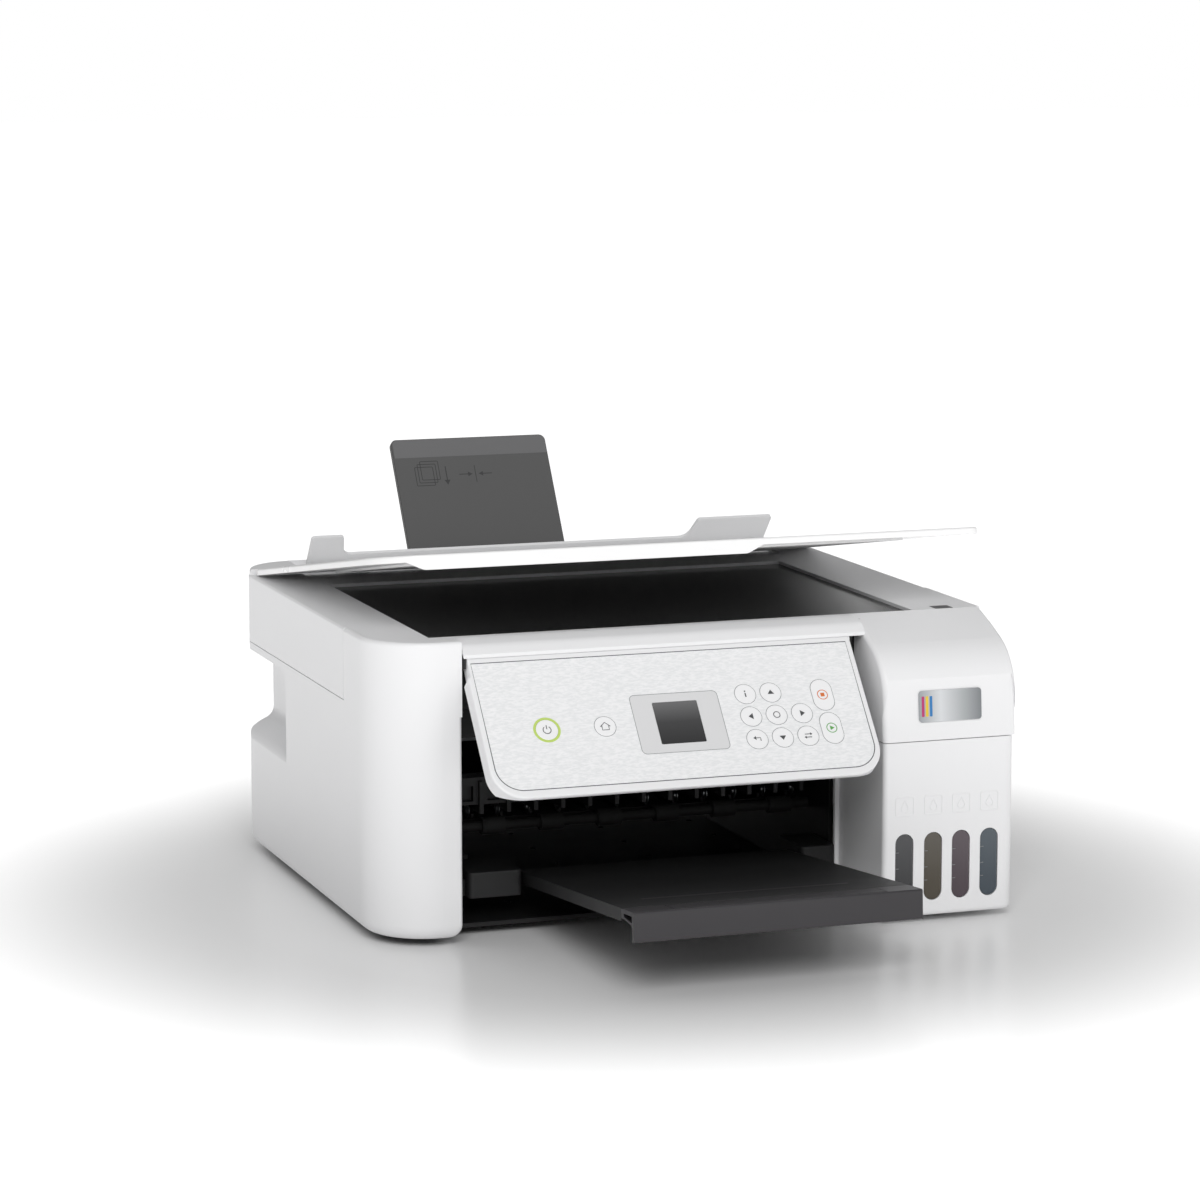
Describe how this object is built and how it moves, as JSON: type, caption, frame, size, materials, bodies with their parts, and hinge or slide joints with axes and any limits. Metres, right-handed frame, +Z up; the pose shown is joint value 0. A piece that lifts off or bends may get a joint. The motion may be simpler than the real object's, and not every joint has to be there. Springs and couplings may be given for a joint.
{
  "type": "inkjet printer",
  "caption": "Ink-tank inkjet printer with flatbed scanner, tilting control panel, sliding output tray, rear paper feeder and refillable side tanks.",
  "frame": {"origin": "on the table, at the centre of the bounding box's base with the tray and the paper support pulled out", "axes": "+X to the right of a person facing the printer, -Y towards the front, +Z up"},
  "size_m": [0.375, 0.4938, 0.2483],
  "materials": {
    "white_abs": "fine moulded texture, satin white",
    "cover_white": "smooth white moulding",
    "black_plastic": "black moulded plastic",
    "tray_grey": "charcoal, fine moulded texture",
    "support_grey": "mid grey, fine moulded texture",
    "platen_glass": "polished float glass over a dark scanner bed",
    "overlay_film": "printed film with a fine wavy grain",
    "key_white": "smooth white key",
    "lcd_bezel": "light grey gloss bezel",
    "mat_foam": "white film on foam",
    "badge_foil": "brushed silver foil",
    "rubber": "soft black rubber",
    "steel": "zinc plated sheet",
    "acetal": "natural acetal",
    "tank_smoke": "smoky translucent tank",
    "tank_yellow": "smoky tank with yellow ink",
    "tank_magenta": "smoky tank with magenta ink",
    "tank_cyan": "smoky tank with cyan ink",
    "board_green": "printed circuit board",
    "supply_case": "black power supply case",
    "belt_rubber": "toothed rubber belt"
  },
  "bodies": {
    "base": {"base_housing": "white_abs", "bottom_plate": "black_plastic", "rubber_feet": "rubber", "tank_housing": "white_abs", "ink_tank_black": "tank_smoke", "ink_tank_yellow": "tank_yellow", "ink_tank_magenta": "tank_magenta", "ink_tank_cyan": "tank_cyan", "inner_frame": "black_plastic", "tray_side_blocks": "tray_grey", "exit_bar": "black_plastic", "platen": "black_plastic", "guide_rail": "steel", "timing_belt": "belt_rubber", "carriage_motor": "steel", "paper_chute": "black_plastic", "main_board": "board_green", "power_supply": "supply_case", "ac_inlet": "black_plastic"},
    "scanner_unit": {"scanner_top_frame": "white_abs", "scanner_glass": "platen_glass", "scanner_case": "black_plastic", "feeder_housing": "white_abs", "tank_badge": "badge_foil"},
    "sensor_bar": {"sensor_bar": "black_plastic"},
    "document_cover": {"lid_shell": "cover_white", "document_mat": "mat_foam"},
    "control_panel": {"panel_shell": "white_abs", "panel_overlay": "overlay_film", "lcd_module": "lcd_bezel"},
    "key_power": {"key_power": "key_white"},
    "key_home": {"key_home": "key_white"},
    "key_help": {"key_help": "key_white"},
    "key_up": {"key_up": "key_white"},
    "key_left": {"key_left": "key_white"},
    "key_ok": {"key_ok": "key_white"},
    "key_right": {"key_right": "key_white"},
    "key_back": {"key_back": "key_white"},
    "key_down": {"key_down": "key_white"},
    "key_options": {"key_options": "key_white"},
    "key_stop": {"key_stop": "key_white"},
    "key_start": {"key_start": "key_white"},
    "tray_plate": {"tray_plate": "tray_grey"},
    "tray_extension": {"tray_extension": "tray_grey"},
    "tray_stopper": {"tray_stopper": "tray_grey"},
    "paper_support": {"paper_support": "support_grey"},
    "feeder_guard": {"feeder_guard": "white_abs"},
    "edge_guide_left": {"edge_guide_left": "black_plastic"},
    "edge_guide_right": {"edge_guide_right": "black_plastic"},
    "print_carriage": {"print_carriage": "black_plastic"},
    "drive_pulley": {"drive_pulley": "acetal"},
    "idler_pulley": {"idler_pulley": "acetal"},
    "feed_roller": {"feed_roller": "rubber"},
    "idler_gear": {"idler_gear": "acetal"},
    "eject_roller": {"eject_roller": "rubber"},
    "pickup_roller": {"pickup_roller": "rubber"},
    "tank_cap_black": {"tank_cap_black": "black_plastic"},
    "tank_cap_yellow": {"tank_cap_yellow": "black_plastic"},
    "tank_cap_magenta": {"tank_cap_magenta": "black_plastic"},
    "tank_cap_cyan": {"tank_cap_cyan": "black_plastic"}
  },
  "joints": [
    {"name": "scanner_hinge", "type": "hinge", "parent": "base", "child": "scanner_unit", "pos_m": [0, 0.212, 0.1331], "axis": [-1, 0, 0], "range_deg": [0, 24]},
    {"name": "cover_hinge", "type": "hinge", "parent": "scanner_unit", "child": "document_cover", "pos_m": [0, 0.181, 0.1762], "axis": [-1, 0, 0], "range_deg": [-8.4, 45]},
    {"name": "panel_hinge", "type": "hinge", "parent": "scanner_unit", "child": "control_panel", "pos_m": [0, -0.093, 0.163], "axis": [-1, 0, 0], "range_deg": [-40, 4]},
    {"name": "sensor_slide", "type": "slide", "parent": "scanner_unit", "child": "sensor_bar", "axis": [1, 0, 0], "range_m": [0, 0.268]},
    {"name": "key_power_press", "type": "slide", "parent": "control_panel", "child": "key_power", "axis": [0, 0.766, -0.6428], "range_m": [0, 0.0006], "stiffness_N_per_m": 400},
    {"name": "key_home_press", "type": "slide", "parent": "control_panel", "child": "key_home", "axis": [0, 0.766, -0.6428], "range_m": [0, 0.0006], "stiffness_N_per_m": 400},
    {"name": "key_help_press", "type": "slide", "parent": "control_panel", "child": "key_help", "axis": [0, 0.766, -0.6428], "range_m": [0, 0.0006], "stiffness_N_per_m": 400},
    {"name": "key_up_press", "type": "slide", "parent": "control_panel", "child": "key_up", "axis": [0, 0.766, -0.6428], "range_m": [0, 0.0006], "stiffness_N_per_m": 400},
    {"name": "key_left_press", "type": "slide", "parent": "control_panel", "child": "key_left", "axis": [0, 0.766, -0.6428], "range_m": [0, 0.0006], "stiffness_N_per_m": 400},
    {"name": "key_ok_press", "type": "slide", "parent": "control_panel", "child": "key_ok", "axis": [0, 0.766, -0.6428], "range_m": [0, 0.0006], "stiffness_N_per_m": 400},
    {"name": "key_right_press", "type": "slide", "parent": "control_panel", "child": "key_right", "axis": [0, 0.766, -0.6428], "range_m": [0, 0.0006], "stiffness_N_per_m": 400},
    {"name": "key_back_press", "type": "slide", "parent": "control_panel", "child": "key_back", "axis": [0, 0.766, -0.6428], "range_m": [0, 0.0006], "stiffness_N_per_m": 400},
    {"name": "key_down_press", "type": "slide", "parent": "control_panel", "child": "key_down", "axis": [0, 0.766, -0.6428], "range_m": [0, 0.0006], "stiffness_N_per_m": 400},
    {"name": "key_options_press", "type": "slide", "parent": "control_panel", "child": "key_options", "axis": [0, 0.766, -0.6428], "range_m": [0, 0.0006], "stiffness_N_per_m": 400},
    {"name": "key_stop_press", "type": "slide", "parent": "control_panel", "child": "key_stop", "axis": [0, 0.766, -0.6428], "range_m": [0, 0.0006], "stiffness_N_per_m": 400},
    {"name": "key_start_press", "type": "slide", "parent": "control_panel", "child": "key_start", "axis": [0, 0.766, -0.6428], "range_m": [0, 0.0006], "stiffness_N_per_m": 400},
    {"name": "tray_slide", "type": "slide", "parent": "base", "child": "tray_plate", "axis": [0, -0.9952, 0.0976], "range_m": [-0.138, 0]},
    {"name": "extension_slide", "type": "slide", "parent": "tray_plate", "child": "tray_extension", "axis": [0, -0.9952, 0.0976], "range_m": [0, 0.11]},
    {"name": "stopper_hinge", "type": "hinge", "parent": "tray_extension", "child": "tray_stopper", "pos_m": [0, -0.2431, 0.04881], "axis": [1, 0, 0], "range_deg": [0, 105]},
    {"name": "support_slide", "type": "slide", "parent": "scanner_unit", "child": "paper_support", "axis": [0, 0.5344, 0.8453], "range_m": [-0.0875, 0]},
    {"name": "guard_hinge", "type": "hinge", "parent": "scanner_unit", "child": "feeder_guard", "pos_m": [0, 0.1885, 0.1766], "axis": [1, 0, 0], "range_deg": [-100, 0]},
    {"name": "guide_left_slide", "type": "slide", "parent": "scanner_unit", "child": "edge_guide_left", "axis": [1, 0, 0], "range_m": [0, 0.03]},
    {"name": "guide_right_slide", "type": "slide", "parent": "scanner_unit", "child": "edge_guide_right", "axis": [-1, 0, 0], "range_m": [0, 0.03]},
    {"name": "carriage_slide", "type": "slide", "parent": "base", "child": "print_carriage", "axis": [1, 0, 0], "range_m": [-0.168, 0]},
    {"name": "drive_pulley_spin", "type": "hinge", "parent": "base", "child": "drive_pulley", "pos_m": [0.084, 0.0765, 0.1], "axis": [0, 1, 0], "continuous": true},
    {"name": "idler_pulley_spin", "type": "hinge", "parent": "base", "child": "idler_pulley", "pos_m": [-0.122, 0.0765, 0.1], "axis": [0, 1, 0], "continuous": true},
    {"name": "feed_roller_spin", "type": "hinge", "parent": "base", "child": "feed_roller", "pos_m": [0, 0.058, 0.052], "axis": [1, 0, 0], "continuous": true},
    {"name": "idler_gear_spin", "type": "hinge", "parent": "base", "child": "idler_gear", "pos_m": [-0.1322, 0.016, 0.052], "axis": [1, 0, 0], "continuous": true},
    {"name": "eject_roller_spin", "type": "hinge", "parent": "base", "child": "eject_roller", "pos_m": [0, -0.02, 0.052], "axis": [1, 0, 0], "continuous": true},
    {"name": "pickup_roller_spin", "type": "hinge", "parent": "base", "child": "pickup_roller", "pos_m": [0, 0.1296, 0.0922], "axis": [1, 0, 0], "continuous": true},
    {"name": "tank_cap_black_hinge", "type": "hinge", "parent": "base", "child": "tank_cap_black", "pos_m": [0.1177, -0.072, 0.106], "axis": [-1, 0, 0], "range_deg": [0, 100]},
    {"name": "tank_cap_yellow_hinge", "type": "hinge", "parent": "base", "child": "tank_cap_yellow", "pos_m": [0.1358, -0.072, 0.106], "axis": [-1, 0, 0], "range_deg": [0, 100]},
    {"name": "tank_cap_magenta_hinge", "type": "hinge", "parent": "base", "child": "tank_cap_magenta", "pos_m": [0.1534, -0.072, 0.106], "axis": [-1, 0, 0], "range_deg": [0, 100]},
    {"name": "tank_cap_cyan_hinge", "type": "hinge", "parent": "base", "child": "tank_cap_cyan", "pos_m": [0.1712, -0.072, 0.106], "axis": [-1, 0, 0], "range_deg": [0, 100]}
  ],
  "couplings": [
    {"joint": "guide_right_slide", "follows": "guide_left_slide", "ratio": 1},
    {"joint": "drive_pulley_spin", "follows": "carriage_slide", "rad_per_m": 160},
    {"joint": "idler_pulley_spin", "follows": "carriage_slide", "rad_per_m": 160},
    {"joint": "idler_gear_spin", "follows": "feed_roller_spin", "ratio": -0.90909},
    {"joint": "eject_roller_spin", "follows": "feed_roller_spin", "ratio": 1.4286}
  ]
}
